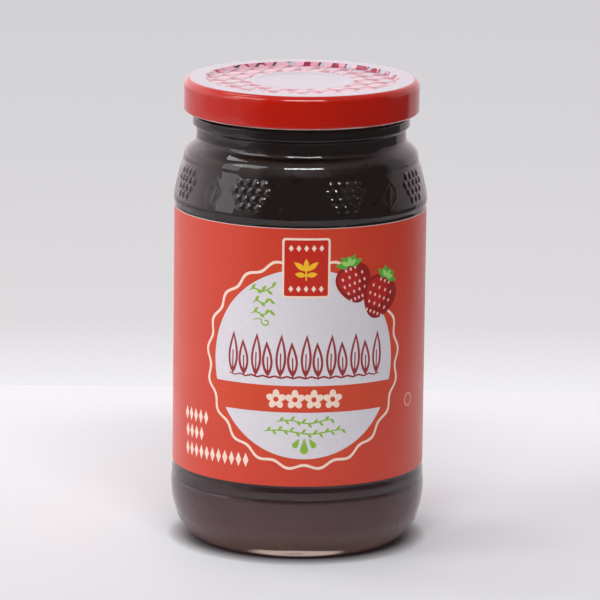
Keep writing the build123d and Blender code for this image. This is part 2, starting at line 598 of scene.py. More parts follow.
def relief_strokes():
    """One motif's raised lines and their heights: a berry, its crown, a leaf and a tendril."""
    turns = np.linspace(radians(-205), radians(25), 30)
    body = [(5.6 * cos(t) * (1 + 0.16 * sin(t)), 5.2 * sin(t) + 0.2) for t in turns]
    crown_left = [(-4.9, 2.9), (-3.2, 4.1), (-1.5, 4.0), (0.0, 3.5)]
    crown_right = [(0.0, 3.5), (1.4, 4.2), (3.0, 4.3), (4.9, 3.1)]
    stem = [(0.0, 3.5), (-0.3, 4.6), (-1.4, 5.2)]
    leaf = [
        (13.6 + side * 2.7 * sin(pi * s) + 1.6 * s, -4.4 + 7.6 * s)
        for side, shares in ((1, np.linspace(0, 1, 12)), (-1, np.linspace(0.9, 0, 10)))
        for s in shares
    ]
    rib = [(13.6, -4.4), (14.1, -1.6), (14.9, 1.0)]
    hook = [(15.2, 3.2), (14.6, 4.5), (12.9, 5.0), (11.3, 4.5)]
    faint = [(path, 0.06) for path in (body, crown_left, crown_right, stem)]
    return faint + [(leaf, 0.22), (rib, 0.22), (hook, 0.08)]


def shoulder_relief(arc, z):
    """Height of the shoulder's relief at an arc length from the front's middle."""
    pitch = 2 * pi * ledge_radius / relief_motifs
    across = np.mod(arc - relief_shift + 7.5, pitch) - 7.5
    up = np.full(np.shape(across), z - (relief_low + relief_high) / 2)
    height = np.zeros(np.shape(across))
    for path, share in relief_strokes():
        ridge = share * bump_height(path_distance(across, up, path), ridge_reach)
        height = np.maximum(height, ridge)
    for seed_u, seed_z in relief_seeds():
        distance = np.hypot((across - seed_u) / seed_width, (up - seed_z) / seed_height)
        height = np.maximum(height, np.clip(1 - distance**2, 0, None))
    fade = np.clip(min(z - relief_low, relief_high - z) / 0.5, 0, 1)
    return relief_height * height * fade


def knurl(arc_share, z):
    """Height of the short bars round the heel."""
    wave = np.cos(2 * pi * knurl_count * arc_share)
    middle = (knurl_low + knurl_high) / 2
    reach = (knurl_high - knurl_low) / 2
    ends = np.clip(1 - ((z - middle) / reach) ** 2, 0, None)
    return knurl_height * np.clip(wave, 0, None) ** 2 * ends


def glass_lift(angles, z, radius):
    """Relief of the glass's outer side: the shoulder's motifs and the heel's knurling."""
    if radius < bearing_outer or len(angles) < fine_segments:
        return 0.0 * angles
    if z > panel_top:
        arc = (angles + pi / 2 + pi) % (2 * pi) - pi
        return shoulder_relief(arc * ledge_radius, z)
    return knurl((angles + pi / 2) / (2 * pi), z)


def inner_wall(top, fillet):
    """The jar's inside from the top of the heel's rounding up to a height."""
    return [
        (body_inner, inner_heel_z, 0),
        (body_inner, shoulder_z - 1, 18),
        (collar_radius - shoulder_wall, flank_z - flank_drop, 6),
        (mouth_radius, neck_z - flank_drop, 4),
        (mouth_radius, top, fillet),
    ]


def glass_outline():
    """The glass's outline from under the base, up outside, over the rim and down inside."""
    underside = rounded([
        (0, push_up, 0),
        (push_up_radius, push_up_edge, 4),
        (bearing_inner, 0, bearing_fillet),
        (bearing_outer, 0, 0),
    ])
    heel = quarter(bearing_outer, heel_height, heel_width, heel_height, 22)
    outside = [
        (heel_radius, heel_height, 0),
        (heel_radius, step_z, 0.2),
        (band_radius, step_z + mould_step_height, 0.2),
        (band_radius, panel_bottom - recess_slope, 2.5),
        (panel_radius, panel_bottom, 2.5),
        (panel_radius, panel_top, 2.0),
        (shoulder_radius, panel_top + recess_slope, 2.0),
        (shoulder_radius, shoulder_z, 6),
        (ledge_radius, ledge_z, 4.0),
        (collar_radius, collar_z, 2.5),
        (collar_radius - collar_lean, flank_z, flank_fillet),
        (neck_radius, neck_z, neck_fillet),
        (neck_radius, bead_z, 0.3),
        (bead_radius, bead_z + bead_slope, 0.5),
        (bead_radius, finish_z - bead_slope, 0.5),
        (finish_radius, finish_z, 0.3),
        (finish_radius, rim_z, rim_fillet),
    ]
    inside = list(reversed(inner_wall(rim_z, rim_fillet)))
    walls = rounded(outside + inside)
    inner_heel = quarter(
        floor_radius, inner_heel_z, inner_heel_width, inner_heel_height, 12
    )
    floor = [np.array((floor_radius, floor_low)), np.array((0.0, floor_z))]
    return joined(underside, heel, walls, list(reversed(inner_heel)), floor)


def has_relief(point):
    """True on the outer side where the glass has relief."""
    radius, z = point
    shoulder = relief_low <= z <= relief_high and radius > collar_radius - 0.1
    heel = knurl_low <= z <= knurl_high and radius > bearing_outer
    return shoulder or heel


def add_glass(material):
    """The glass jar, with its relief in the mesh."""
    limit = lambda middle: fine_row if has_relief(middle) else coarse_row
    points = divided(glass_outline(), limit)
    rim_index = int(np.argmax([p[1] for p in points]))
    counts = []
    for index, point in enumerate(points):
        if point[0] < 1e-6:
            counts.append(1)
        elif index < rim_index and has_relief(point):
            counts.append(fine_segments)
        else:
            counts.append(coarse_segments)
    vertices, faces = turned(points, counts, glass_lift)
    jar = piece("glass_jar_relief", vertices, faces, [material])
    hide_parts("glass_jar")


# === Jelly ===

def add_jelly(material):
    """The jelly, reaching just into the glass, with a low meniscus round its top."""
    inner_heel = quarter(
        floor_radius, inner_heel_z, inner_heel_width, inner_heel_height, 14
    )
    floor = [np.array((0.0, floor_z)), np.array((floor_radius, floor_low))]
    walls = rounded(inner_wall(jelly_z, 0))
    side = divided(joined(floor, inner_heel, walls), lambda middle: 3.0)
    normals = outline_normals(side)
    side = [p + n * jelly_overlap for p, n in zip(side, normals)]
    side[0][0] = 0.0
    shares = np.linspace(0, 1, 7)[1:]
    edge = side[-1]
    top = [
        np.array((edge[0] - meniscus_width * s, edge[1] - meniscus * (1 - (1 - s) ** 2)))
        for s in shares
    ]
    inner = [
        np.array((top[-1][0] * s, top[-1][1])) for s in (0.75, 0.5, 0.25, 0.0)
    ]
    points = side + top + inner
    counts = [1 if p[0] < 1e-6 else 192 for p in points]
    vertices, faces = turned(points, counts)
    jelly = piece("jelly_body", vertices, faces, [material])
    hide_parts("jelly")


# === Flat shapes for the print ===

def circle(centre, radius, count=48):
    """Points of a circle."""
    return ellipse(centre, radius, radius, 0.0, count)


def ellipse(centre, half_width, half_height, tilt=0.0, count=20):
    """Points of an ellipse turned by a tilt."""
    turns = 2 * pi * np.arange(count) / count
    x = half_width * np.cos(turns)
    y = half_height * np.sin(turns)
    return placed(np.stack([x, y], axis=1), centre, tilt)


def placed(points, centre, tilt):
    """Points turned by an angle and moved to a centre."""
    c, s = cos(tilt), sin(tilt)
    turn = np.array([[c, s], [-s, c]])
    return np.asarray(points, float) @ turn + np.array(centre, float)


def wavy_circle(centre, radius):
    """Points of a circle whose radius rises and falls."""
    count = 16 * ring_waves
    turns = 2 * pi * np.arange(count) / count
    r = radius + ring_wave * np.sin(ring_waves * turns)
    return np.stack([r * np.cos(turns), r * np.sin(turns)], axis=1) + np.array(centre)


def disc_part(centre, radius, low, high, count=90):
    """The part of a disc between two heights."""
    turns = 2 * pi * np.arange(count * 2) / (count * 2)
    y = np.clip(radius * np.sin(turns), low - centre[1], high - centre[1])
    x = np.sign(np.cos(turns)) * np.sqrt(np.maximum(radius**2 - y**2, 0))
    points = np.stack([x, y], axis=1) + np.array(centre)
    keep = np.linalg.norm(points - np.roll(points, 1, axis=0), axis=1) > 1e-3
    return points[keep]


def box_shape(low, high, corner=0.0):
    """A rectangle with rounded corners."""
    points = []
    turns = np.linspace(0, pi / 2, 5) if corner > 0 else [0.0]
    for index, (x, y) in enumerate(
        [(high[0], high[1]), (low[0], high[1]), (low[0], low[1]), (high[0], low[1])]
    ):
        inward_x = -1 if x == high[0] else 1
        inward_y = -1 if y == high[1] else 1
        centre = np.array((x + inward_x * corner, y + inward_y * corner))
        for t in turns:
            angle = index * pi / 2 + t
            points.append(centre + corner * np.array((cos(angle), sin(angle))))
    return np.array(points)


def leaf(base, tip, width, count=9, belly=0.5):
    """A pointed leaf from its base to its tip, widest at the belly's share."""
    base, tip = np.array(base, float), np.array(tip, float)
    along = tip - base
    side = np.array((-along[1], along[0])) / np.linalg.norm(along)
    shares = np.linspace(0, 1, count)
    power = np.log(0.5) / np.log(belly)
    half = width / 2 * np.sin(pi * shares**power)
    right = [base + along * s - side * h for s, h in zip(shares, half)]
    left = [base + along * s + side * h for s, h in zip(shares, half)]
    return np.array(right + left[-2:0:-1])


def stroke(path, width, ends=0.6):
    """A line of a width along a path, narrower by a share at its ends."""
    path = np.array(path, float)
    ahead = np.gradient(path, axis=0)
    ahead /= np.linalg.norm(ahead, axis=1)[:, None]
    side = np.stack([-ahead[:, 1], ahead[:, 0]], axis=1)
    shares = np.linspace(0, 1, len(path))
    taper = np.minimum(1, ends + 6 * np.minimum(shares, 1 - shares) * (1 - ends))
    half = width / 2 * taper[:, None]
    return np.concatenate([path + side * half, (path - side * half)[::-1]])


def diamond(centre, width, height):
    """An upright diamond."""
    return ellipse(centre, width / 2, height / 2, 0.0, 4)


def blossom(centre, radius, petals=5, turn=pi / 2, count=40):
    """A flower's outline with round petals."""
    turns = 2 * pi * np.arange(count) / count
    r = radius * (0.56 + 0.44 * np.abs(np.cos(petals * (turns - turn) / 2)))
    return np.stack([r * np.cos(turns), r * np.sin(turns)], axis=1) + np.array(centre)


def drop(centre, tip, width):
    """A drop that is round at its centre and pointed at its tip."""
    centre, tip = np.array(centre, float), np.array(tip, float)
    along = tip - centre
    length = np.linalg.norm(along)
    along /= length
    side = np.array((-along[1], along[0]))
    turns = np.linspace(radians(70), radians(290), 12)
    points = [centre + width / 2 * (cos(t) * along + sin(t) * side) for t in turns]
    return np.array([tip] + points)


def berry_shape(centre, width, height, tilt, count=36):
    """A berry with broad shoulders at its top and a blunt tip."""
    turns = 2 * pi * np.arange(count) / count
    x = width / 2 * np.sin(turns) * (1 + 0.26 * np.cos(turns)) / 1.04
    y = height / 2 * np.cos(turns)
    return placed(np.stack([x, y], axis=1), centre, tilt)


# === Label ===

def berry_print(centre, width, height, tilt):
    """A printed berry: body, lighter flank, seeds and a crown of leaves."""
    layers = [("berry", berry_shape(centre, width, height, tilt))]
    glow = placed([(-0.12 * width, 0.06 * height)], centre, tilt)[0]
    layers.append(("berry_light", berry_shape(glow, 0.62 * width, 0.66 * height, tilt)))
    pitch = 0.185 * height
    for row in range(-2, 3):
        y = row * pitch
        span = width / 2 * (0.86 - 0.2 * abs(row - 0.6) / 2)
        count = 5 if row % 2 == 0 else 4
        for k in range(count):
            x = span * 0.92 * (2 * (k + 0.5) / count - 1)
            if (x / (width * 0.43)) ** 2 + (y / (height * 0.44)) ** 2 < 1:
                spot = placed([(x, y)], centre, tilt)[0]
                layers.append(("seed", ellipse(spot, 0.31, 0.5, tilt - 0.5 * x / width, 10)))
    top = placed([(0, 0.46 * height)], centre, tilt)[0]
    for turn, length in ((-84, 4.3), (-46, 3.6), (-8, 2.9), (30, 3.6), (72, 4.2)):
        way = tilt + radians(turn) + pi / 2
        tip = top + length * np.array((cos(way), sin(way)))
        layers.append(("leaf", leaf(top, tip, 2.0, belly=0.4)))
    for turn, length in ((-66, 2.7), (-20, 2.5), (50, 2.8)):
        way = tilt + radians(turn) + pi / 2
        tip = top + length * np.array((cos(way), sin(way)))
        layers.append(("leaf_light", leaf(top, tip, 1.3, belly=0.45)))
    return layers


def sprig(start, end, leaves, size, colour="green", sway=0.5):
    """A thin stem with leaves on both sides in turn."""
    start, end = np.array(start, float), np.array(end, float)
    along = end - start
    length = np.linalg.norm(along)
    along /= length
    side = np.array((-along[1], along[0]))
    shares = np.linspace(0, 1, 17)
    path = [start + along * length * s + side * sway * sin(2.6 * pi * s) for s in shares]
    layers = [(colour, stroke(path, 0.42))]
    for k in range(leaves):
        share = (k + 0.5) / leaves
        root = start + along * length * share + side * sway * sin(2.6 * pi * share)
        way = 1 if k % 2 == 0 else -1
        tip = root + size * (0.72 * along + way * 0.7 * side)
        layers.append((colour, leaf(root, tip, 0.42 * size, 7)))
    return layers


def leaf_row(start, count, pitch, low, tall, short):
    """A row of tall leaf outlines, joined along their feet by a thin line."""
    layers = []
    for k in range(count):
        x = start + k * pitch
        height = tall if k % 2 == 0 else short
        lean = 0.35 if k % 2 == 0 else -0.35
        layers.append(("line", leaf((x, low), (x + lean, low + height), 3.1, 13, 0.42)))
        inner_tip = (x + 0.9 * lean, low + height - 1.7)
        layers.append(("paper", leaf((x, low + 1.5), inner_tip, 1.75, 11, 0.4)))
        layers.append(("line", stroke([(x, low), (x + 0.3 * lean, low + 0.55 * height)], 0.5, 0.8)))
    last = start + (count - 1) * pitch
    shares = np.linspace(0, 1, count * 4 + 1)
    path = [(start - 1 + (last - start + 2) * s, low + 0.25 * cos(2 * pi * s * count)) for s in shares]
    layers.append(("line", stroke(path, 0.55)))
    return layers


def front_print():
    """The front's print, from the bottom layer up, as (ink, outline) pairs."""
    layers = [
        ("cream", wavy_circle(disc_centre, ring_radius)),
        ("orange", wavy_circle(disc_centre, ring_radius - ring_line)),
        ("paper", disc_part(disc_centre, disc_radius, band_high, far_off)),
        ("paper", disc_part(disc_centre, disc_radius, -far_off, band_low)),
    ]
    layers += leaf_row(-19.3, 13, 3.55, 31.2, 12.3, 10.2)
    for x in np.linspace(-6.2, 9.8, 4):
        layers.append(("cream", blossom((x, 24.9), 2.85)))
        layers.append(("orange", circle((x, 24.9), 0.75, 14)))
    layers += sprig((-6.0, 18.5), (10.0, 18.7), 10, 1.75)
    layers += sprig((-9.6, 15.6), (13.4, 15.6), 14, 1.75)
    layers += [
        ("green", drop((1.85, 10.5), (1.85, 14.0), 2.3)),
        ("green", drop((-0.7, 11.9), (0.6, 13.9), 1.7)),
        ("green", drop((4.4, 11.9), (3.1, 13.9), 1.7)),
    ]
    layers += sprig((-14.4, 55.3), (-6.9, 56.4), 5, 2.1)
    layers += sprig((-13.2, 52.0), (-7.6, 52.8), 4, 2.0)
    layers += sprig((-13.6, 48.8), (-7.4, 49.6), 4, 2.0)
    curl = [
        (-9.4 + (1.3 - 0.14 * t) * cos(t + 2.6), 46.7 + (1.1 - 0.12 * t) * sin(t + 2.6))
        for t in np.linspace(6.2, 0, 20)
    ]
    layers.append(("green", stroke(curl + [(-11.6, 47.6), (-13.0, 47.2)], 0.42)))
    layers += plaque()
    layers += berry_print((15.9, 57.6), 10.9, 11.6, radians(18))
    layers += berry_print((24.2, 53.0), 12.0, 12.6, radians(-24))
    layers += corner_rows()
    layers.append(("mark", circle(mark_centre, 2.0, 28)))
    layers.append(("field", circle(mark_centre, 1.45, 28)))
    return layers


def plaque():
    """The small framed panel at the ring's top, with a sprig and two rows of diamonds."""
    layers = [
        ("cream", box_shape((-4.9, 53.8), (8.6, 70.8), 0.9)),
        ("panel", box_shape((-4.3, 54.4), (8.0, 70.2), 0.55)),
    ]
    for low in (67.9, 56.4):
        layers += [("cream", diamond((x, low), 1.35, 1.9)) for x in np.linspace(-2.4, 6.1, 5)]
    foot = (1.85, 58.8)
    layers.append(("gold", stroke([foot, (1.85, 60.5), (1.85, 62.4)], 0.55)))
    for turn, size in ((0, 3.6), (52, 4.3), (-52, 4.3), (82, 3.2), (-82, 3.2)):
        way = radians(90 - turn)
        root = np.array((1.85, 60.2 if abs(turn) > 60 else 61.4))
        tip = root + size * np.array((cos(way), sin(way)))
        layers.append(("gold", leaf(root, tip, 1.5, 9, 0.5)))
    return layers


def corner_rows():
    """Three rows of cream diamonds low on the front's left side."""
    layers = []
    for low, start, count in ((16.9, -37.8, 5), (12.0, -37.4, 4), (6.8, -37.4, 11)):
        for k in range(count):
            layers.append(("cream", diamond((start + 2.25 * k, low), 1.75, 4.1)))
    return layers


def back_print():
    """The back: a bare pale panel with plain rules on one side, berries on the other."""
    low, high = (60.0, 12.0), (96.0, 62.0)
    layers = [
        ("cream", box_shape(low, high, 1.6)),
        ("paper", box_shape((low[0] + 0.7, low[1] + 0.7), (high[0] - 0.7, high[1] - 0.7), 1.0)),
    ]
    for k in range(8):
        y = 18.0 + 5.4 * k
        layers.append(("line", box_shape((63.5, y), (92.5, y + (0.9 if k in (0, 7) else 0.35)))))
    layers += berry_print((-82.0, 44.0), 12.0, 12.6, radians(16))
    layers += berry_print((-72.6, 39.5), 12.0, 12.6, radians(-22))
    layers += sprig((-92.0, 27.0), (-64.0, 27.0), 14, 2.6, "cream", 0.9)
    return layers


def inside_shape(shape, points):
    """Which points lie inside a closed outline."""
    low, high = shape.min(0), shape.max(0)
    near = np.all((points >= low) & (points <= high), axis=1)
    found = np.zeros(len(points), bool)
    x, y = points[near].T
    hits = np.zeros(len(x), bool)
    for (x0, y0), (x1, y1) in zip(shape, np.roll(shape, -1, axis=0)):
        if y0 == y1:
            continue
        crosses = (y0 > y) != (y1 > y)
        hits ^= crosses & (x < (x1 - x0) * (y - y0) / (y1 - y0) + x0)
    found[near] = hits
    return found


def cut_plane(points, shapes, lines=(), longest=99.0):
    """Triangles of a flat sheet, cut along the outlines of shapes and along open lines."""
    vertices = [tuple(p) for p in points]
    edges = []
    for shape in shapes:
        start = len(vertices)
        loop = divided([*shape, shape[0]], lambda middle: longest)[:-1]
        vertices += [tuple(p) for p in loop]
        count = len(loop)
        edges += [(start + k, start + (k + 1) % count) for k in range(count)]
    for line in lines:
        start = len(vertices)
        vertices += [tuple(p) for p in line]
        edges += [(start + k, start + k + 1) for k in range(len(line) - 1)]
    result = delaunay_2d_cdt(vertices, edges, [], 0, 1e-4)
    return np.array([tuple(v) for v in result[0]]), np.array([tuple(f) for f in result[2]])


def painted(layers, inks, places, first):
    """For each place, the index of the ink on top there."""
    chosen = np.full(len(places), inks.index(first))
    for ink, shape in layers:
        chosen[inside_shape(shape, places)] = inks.index(ink)
    return chosen


def label_wave(u, v):
    """Slight unevenness of the paper on the glass, in millimetres."""
    slow = np.sin(u / 9.3 + 1.3 * np.sin(v / 17.0)) * np.sin(v / 13.7 + 0.8)
    quick = np.sin(u / 3.9 + 0.7) * np.sin(v / 5.3 + np.sin(u / 21.0))
    return 0.018 * slow + 0.006 * quick


def paper_radius(u, v):
    """Radius of the label's outer face, which steps out over the stuck-down end."""
    ramp_start = -label_length / 2 + label_overlap
    rise = np.clip((ramp_start + lap_slope - u) / lap_slope, 0, 1)
    lapped = rise * rise * (3 - 2 * rise)
    return label_radius + label_thickness * lapped + label_wave(u, v)


def wrapped(u, v, radius):
    """Places on the jar of the label's flat places."""
    angle = u / label_radius - pi / 2
    return np.stack([radius * np.cos(angle), radius * np.sin(angle), label_bottom + v], axis=1)


def label_layers():
    """All of the label's print, from the bottom layer up; the first is its bare top margin."""
    reach = label_length / 2 + 1
    margin = box_shape((-reach, label_height - label_margin_top), (reach, far_off))
    return [("margin", margin)] + front_print() + back_print()


def label_sheet(layers):
    """The flat label's points and triangles, cut along the outlines of its layers."""
    half = label_length / 2
    across = np.linspace(-half, half, 151)
    across[0] += lap_slant
    up = np.linspace(0, label_height, 31)
    grid = np.array([(u, v) for u in across for v in up])
    border = np.array(
        [(u, 0.0) for u in across]
        + [(across[-1], v) for v in up[1:]]
        + [(u, label_height) for u in across[-2::-1]]
        + [(across[0], v) for v in up[-2:0:-1]]
    )
    rule = [(u, label_height - label_margin_top) for u in across]
    shapes = [border] + [shape for ink, shape in layers if ink != "margin"]
    return cut_plane(grid, shapes, [rule], longest_edge)


def along_edge(chosen, order):
    """Numbers of the chosen points, in the order along their edge."""
    return sorted(np.flatnonzero(chosen), key=lambda k: order[k])


def paper_back(u, v):
    """Points of the paper's back, and the faces that join it to the outer face's edges."""
    half = label_length / 2
    left = along_edge(np.abs(u - u.min()) < nearly, v)
    right = along_edge(np.abs(u - half) < nearly, v)
    bottom = along_edge(v < nearly, u)
    top = along_edge(v > label_height - nearly, u)
    ring_u = np.concatenate([[-half], u[bottom[1:-1]]])
    radius = label_radius - label_thickness
    foot = wrapped(ring_u, 0 * ring_u, radius)
    head = wrapped(ring_u, 0 * ring_u + label_height, radius)
    count = len(ring_u)
    low = len(u)
    high = low + count
    faces = []
    for k in range(count):
        n = (k + 1) % count
        faces.append((low + n, low + k, high + k, high + n))
        faces.append((low + k, low + n, bottom[k + 1], bottom[k]))
        faces.append((high + n, high + k, top[k], top[k + 1]))
    for k in range(len(left) - 1):
        faces.append((left[k + 1], left[k], right[k], right[k + 1]))
    faces.append((low, bottom[0], bottom[-1]))
    faces.append((high, top[-1], top[0]))
    return np.concatenate([foot, head]), faces


def add_label(inks):
    """The paper label as one closed mesh whose printed regions are cut into it."""
    layers = label_layers()
    flat, triangles = label_sheet(layers)
    names = list(inks)
    chosen = painted(layers, names, flat[triangles].mean(1), "field")
    u, v = flat.T
    back, edge_faces = paper_back(u, v)
    vertices = np.concatenate([wrapped(u, v, paper_radius(u, v)), back])
    chosen = np.concatenate([chosen, np.full(len(edge_faces), names.index("edge"))])
    faces = triangles.tolist() + edge_faces
    sheet = piece("label_print", vertices, faces, list(inks.values()), chosen)
    set_label_normals(sheet.data, u, v, len(triangles))
    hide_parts("label")


def set_label_normals(mesh, u, v, outer_faces):
    """Normals of the wrapped paper itself on its outer face, and flat ones elsewhere."""
    step = 0.05
    slope_u = (paper_radius(u + step, v) - paper_radius(u - step, v)) / (2 * step)
    slope_v = (paper_radius(u, v + step) - paper_radius(u, v - step)) / (2 * step)
    angle = u / label_radius - pi / 2
    out = np.stack([np.cos(angle), np.sin(angle), 0 * angle], axis=1)
    along = np.stack([-np.sin(angle), np.cos(angle), 0 * angle], axis=1)
    normals = out - along * slope_u[:, None] - np.array((0, 0, 1)) * slope_v[:, None]
    normals /= np.linalg.norm(normals, axis=1)[:, None]
    split = []
    for polygon in mesh.polygons:
        if polygon.index < outer_faces:
            split += [normals[k].tolist() for k in polygon.vertices]
        else:
            split += [list(polygon.normal)] * len(polygon.vertices)
    mesh.normals_split_custom_set(split)


# === Lid ===

def lid_corners():
    """The lid's outline from the top's white edge out, round the hem and back inside."""
    inner_radius = lid_radius - lid_sheet
    slope_radius = lid_panel_radius - panel_slope
    panel_z = lid_top - panel_depth
    button_z = panel_z - button_depth
    return [
        (top_edge, lid_top, 0),
        (lid_radius, lid_top, lid_corner),
        (lid_radius, hem_z, hem_fillet),
        (lid_radius - hem_width, hem_z, hem_fillet),
        (lid_radius - hem_width, hem_z + hem_width, hem_fillet),
        (inner_radius, hem_z + hem_width, 0.2),
        (inner_radius, rim_z, lid_corner - lid_sheet),
        (lid_panel_radius, rim_z, 0.4),
        (slope_radius, panel_z - lid_sheet, 0.9),
        (button_radius, panel_z - lid_sheet, 1.5),
        (button_radius - button_slope, button_z - lid_sheet, 1.5),
        (0, button_z - lid_sheet, 0),
    ]


def lid_top_profile():
    """Radii and heights of the lid's top face, from the middle out."""
    slope_radius = lid_panel_radius - panel_slope
    panel_z = lid_top - panel_depth
    button_z = panel_z - button_depth
    points = rounded([
        (0, button_z, 0),
        (button_radius - button_slope, button_z, 1.5),
        (button_radius, panel_z, 1.5),
        (slope_radius, panel_z, 0.6),
        (lid_panel_radius, lid_top, 0.6),
        (lid_radius, lid_top, 0),
    ], radians(12))
    return np.array(points).T


def check_levels():
    """Where the edges of the thin lines between the checks lie, from the middle."""
    middles = check_pitch / 2 * np.arange(-9, 10)
    return np.sort(np.concatenate([middles - check_edge / 2, middles + check_edge / 2]))


def check_line(level, turn):
    """One wavy line of the printed checks, in the runs that lie in the printed ring."""
    along = np.arange(-print_outer, print_outer + 0.01, 0.7)
    across = level + check_wave * np.sin(along * 2 * pi / check_pitch + level)
    points = placed(np.stack([along, across], axis=1), (0, 0), turn)
    radius = np.hypot(*points.T)
    kept = (radius > print_inner - 0.8) & (radius < print_outer + 0.8)
    breaks = np.flatnonzero(kept[1:] != kept[:-1]) + 1
    runs = zip(np.split(points, breaks), np.split(kept, breaks))
    return [run for run, inside in runs if inside[0] and len(run) > 1]


def check_parity(places, turn):
    """For each place, 0 or 2 for a direction's two stripes, 1 or 3 for the lines between."""
    local = placed(places, (0, 0), -turn)
    along, across = local.T
    levels = check_levels()
    waves = levels + check_wave * np.sin(along[:, None] * 2 * pi / check_pitch + levels)
    return (across[:, None] > waves).sum(1) % 4


def lid_top_sheet():
    """The lid's top seen from above: its points and triangles, cut along its print."""
    rings = [r for r in lid_top_profile()[0][1:] if r < top_edge - 0.3]
    shapes = [circle((0, 0), r, 120 if r < 20 else lid_segments) for r in rings + [4.0, 8.0]]
    shapes += [circle((0, 0), r, lid_segments) for r in (print_inner, print_outer, 29.0)]
    shapes.append(placed(circle((0, 0), top_edge, lid_segments), (0, 0), -pi / 2))
    lines = []
    for turn in (check_turn, check_turn + pi / 2):
        for level in check_levels():
            lines += check_line(level, turn)
    return cut_plane([(0.0, 0.0)], shapes, lines)


def lid_top_inks(places, names):
    """The number of the ink at each place on the lid's top."""
    white, line = names.index("white"), names.index("check_line")
    checks = np.array([
        [white, names.index("pink")],
        [names.index("rose"), names.index("red_check")],
    ])
    stripe = check_parity(places, check_turn)
    crossing = check_parity(places, check_turn + pi / 2)
    chosen = np.where(stripe % 2 == 1, line, checks[stripe // 2, crossing // 2])
    radius = np.hypot(*places.T)
    return np.where((radius > print_inner) & (radius < print_outer), chosen, white)


def lid_body():
    """The lid's turned part: its points, its faces, and how many of those line its inside."""
    outline = divided(rounded(lid_corners(), radians(10)), lambda middle: 3.0)
    lowest = min(p[1] for p in outline)
    outer_rows = max(k for k, p in enumerate(outline) if p[1] < lowest + 0.01)
    counts = [1 if p[0] < 1e-6 else lid_segments for p in outline]
    points, faces = turned(outline[::-1], counts[::-1])
    return points, faces, len(faces) - lid_segments * outer_rows


def top_numbers(flat, body_count):
    """Numbers of the top's points after the body's; those on its edge are the body's own."""
    radius = np.hypot(*flat.T)
    edge = np.flatnonzero(np.abs(radius - top_edge) < nearly)
    angles = np.mod(np.arctan2(flat[edge, 1], flat[edge, 0]) + pi / 2 + 1e-6, 2 * pi)
    numbers = np.arange(len(flat)) + body_count
    numbers[edge[np.argsort(angles)]] = body_count - lid_segments + np.arange(lid_segments)
    return numbers


def add_lid(inks):
    """The pressed lid: printed white top, red skirt and curled hem, as one mesh."""
    names = list(inks)
    flat, triangles = lid_top_sheet()
    body, body_faces, lining_faces = lid_body()
    heights = np.interp(np.hypot(*flat.T), *lid_top_profile())
    vertices = np.concatenate([body, np.column_stack([flat, heights])])
    faces = body_faces + top_numbers(flat, len(body))[triangles].tolist()
    chosen = [
        names.index(lid_region(body, face, index < lining_faces))
        for index, face in enumerate(body_faces)
    ]
    chosen += lid_top_inks(flat[triangles].mean(1), names).tolist()
    vertices, faces = compacted(vertices, faces)
    lid = piece("lid_enamel_print", vertices, faces, list(inks.values()), chosen)
    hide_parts("lid")


def lid_region(points, face, lining):
    """Which finish a face of the lid's turned part has."""
    if lining:
        return "lining"
    radius = np.mean([hypot(points[k][0], points[k][1]) for k in face])
    z = np.mean([points[k][2] for k in face])
    return "white" if z > lid_top - lid_corner and radius < white_radius else "skirt"


def compacted(vertices, faces):
    """The mesh without the vertices that no face uses."""
    used = np.unique(np.concatenate([np.array(f) for f in faces]))
    renumber = np.full(len(vertices), -1)
    renumber[used] = np.arange(len(used))
    return vertices[used], [tuple(int(renumber[k]) for k in f) for f in faces]


# === Camera, floor and light ===

def add_camera():
    """A long lens that looks about twelve degrees down at the jar, rolled very slightly."""
    pitch = radians(11.89)
    roll = 0.0125
    data = bpy.data.cameras.new("camera")
    data.lens = 332.5
    data.sensor_width = 36.0
    data.clip_start = 0.05
    data.clip_end = 20.0
    camera = bpy.data.objects.new("camera", data)
    turn = Euler((pi / 2 - pitch, 0, 0)).to_matrix() @ Matrix.Rotation(roll, 3, "Z")
    camera.matrix_world = Matrix.Translation((0.0002, -1.5406, 0.3926)) @ turn.to_4x4()
    bpy.context.scene.collection.objects.link(camera)
    bpy.context.scene.camera = camera


def floor_material():
    """Matt white table card, with painted shade: darker towards the front as the light falls off, and
    a painted contact shadow where the jar stands close.
    """
    material, tree, shader, place = new_material("table_card")
    # painted shade: the card is darker towards the front, standing in for the light's falloff
    depth = ranged_mm(tree, coordinate(tree, place, "Y"), -80, 170, 0.0, 1.0)
    near = blended(tree, noise(tree, place, 30), (211, 216, 219), (214, 219, 222))
    far = blended(tree, noise(tree, place, 30), (240, 245, 247), (242, 247, 249))
    # painted contact shadow: ambient occlusion darkens the card towards (76, 64, 70) near the jar
    contact_shade_ao = tree.nodes.new("ShaderNodeAmbientOcclusion")
    contact_shade_ao.inputs["Distance"].default_value = 6 * MM
    unshaded_share = math(tree, "POWER", contact_shade_ao.outputs["AO"], 1.35)
    card = blended(tree, depth, near, far)
    tree.links.new(blended(tree, unshaded_share, (76, 64, 70), card), shader.inputs["Base Color"])
    shader.inputs["Roughness"].default_value = 0.6
    shader.inputs["Specular IOR Level"].default_value = 0.2
    bumped(tree, shader, noise(tree, place, 0.8), 0.01)
    return material


def add_floor():
    """The table card, which ends a short way round the jar."""
    left, right, front, back = -0.62, 0.26, -0.32, 0.187
    mesh = bpy.data.meshes.new("floor")
    corners = [(left, front, 0), (right, front, 0), (right, back, 0), (left, back, 0)]
    mesh.from_pydata(corners, [], [(0, 1, 2, 3)])
    mesh.materials.append(floor_material())
    floor = bpy.data.objects.new("floor", mesh)
    bpy.context.scene.collection.objects.link(floor)


def grey(level):
    """The sRGB grey of a linear level, faintly pink as the studio's walls are."""
    share = 1.055 * level ** (1 / 2.4) - 0.055 if level > 0.0031308 else 12.92 * level
    return (255 * share, 240 * share, 244 * share)


